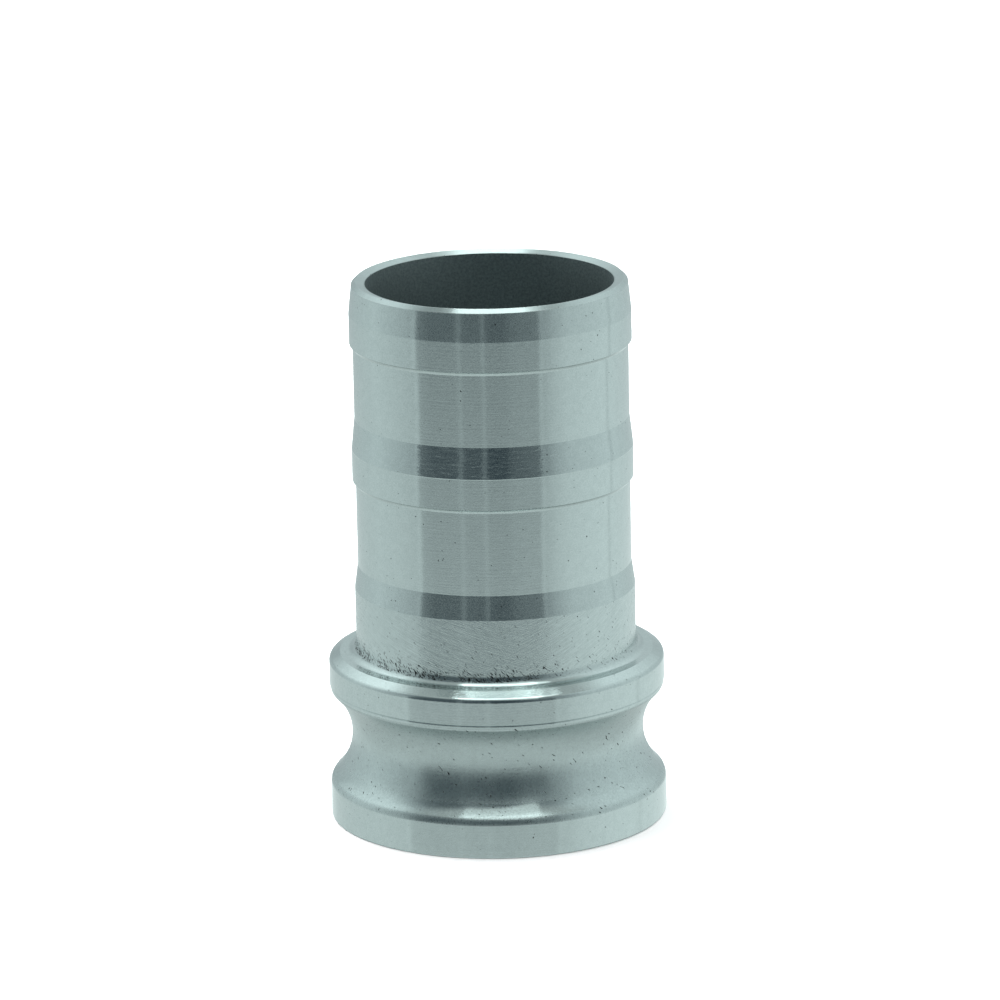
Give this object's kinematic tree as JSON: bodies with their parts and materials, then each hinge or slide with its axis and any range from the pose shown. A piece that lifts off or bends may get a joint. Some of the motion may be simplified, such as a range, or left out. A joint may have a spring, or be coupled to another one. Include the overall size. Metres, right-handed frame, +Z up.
{
  "type": "cam-and-groove hose adapter",
  "caption": "Male cam-and-groove (camlock) hose adapter: a turned aluminium head with a round cam groove and collar, and a barbed shank that pushes into a hose.",
  "frame": {"origin": "centre of the sealing face, on the bore's axis, at the bottom of the part", "axes": "+Z runs up the bore from the sealing face to the end of the hose shank; X and Y are any two directions across, because the part is turned"},
  "size_m": [0.063, 0.063, 0.1024],
  "materials": {
    "turned_aluminium": "turned and hand-emeried, satin to bright, with a dull as-cast bore"
  },
  "bodies": {
    "root": {"adapter_body": "turned_aluminium"}
  },
  "joints": []
}
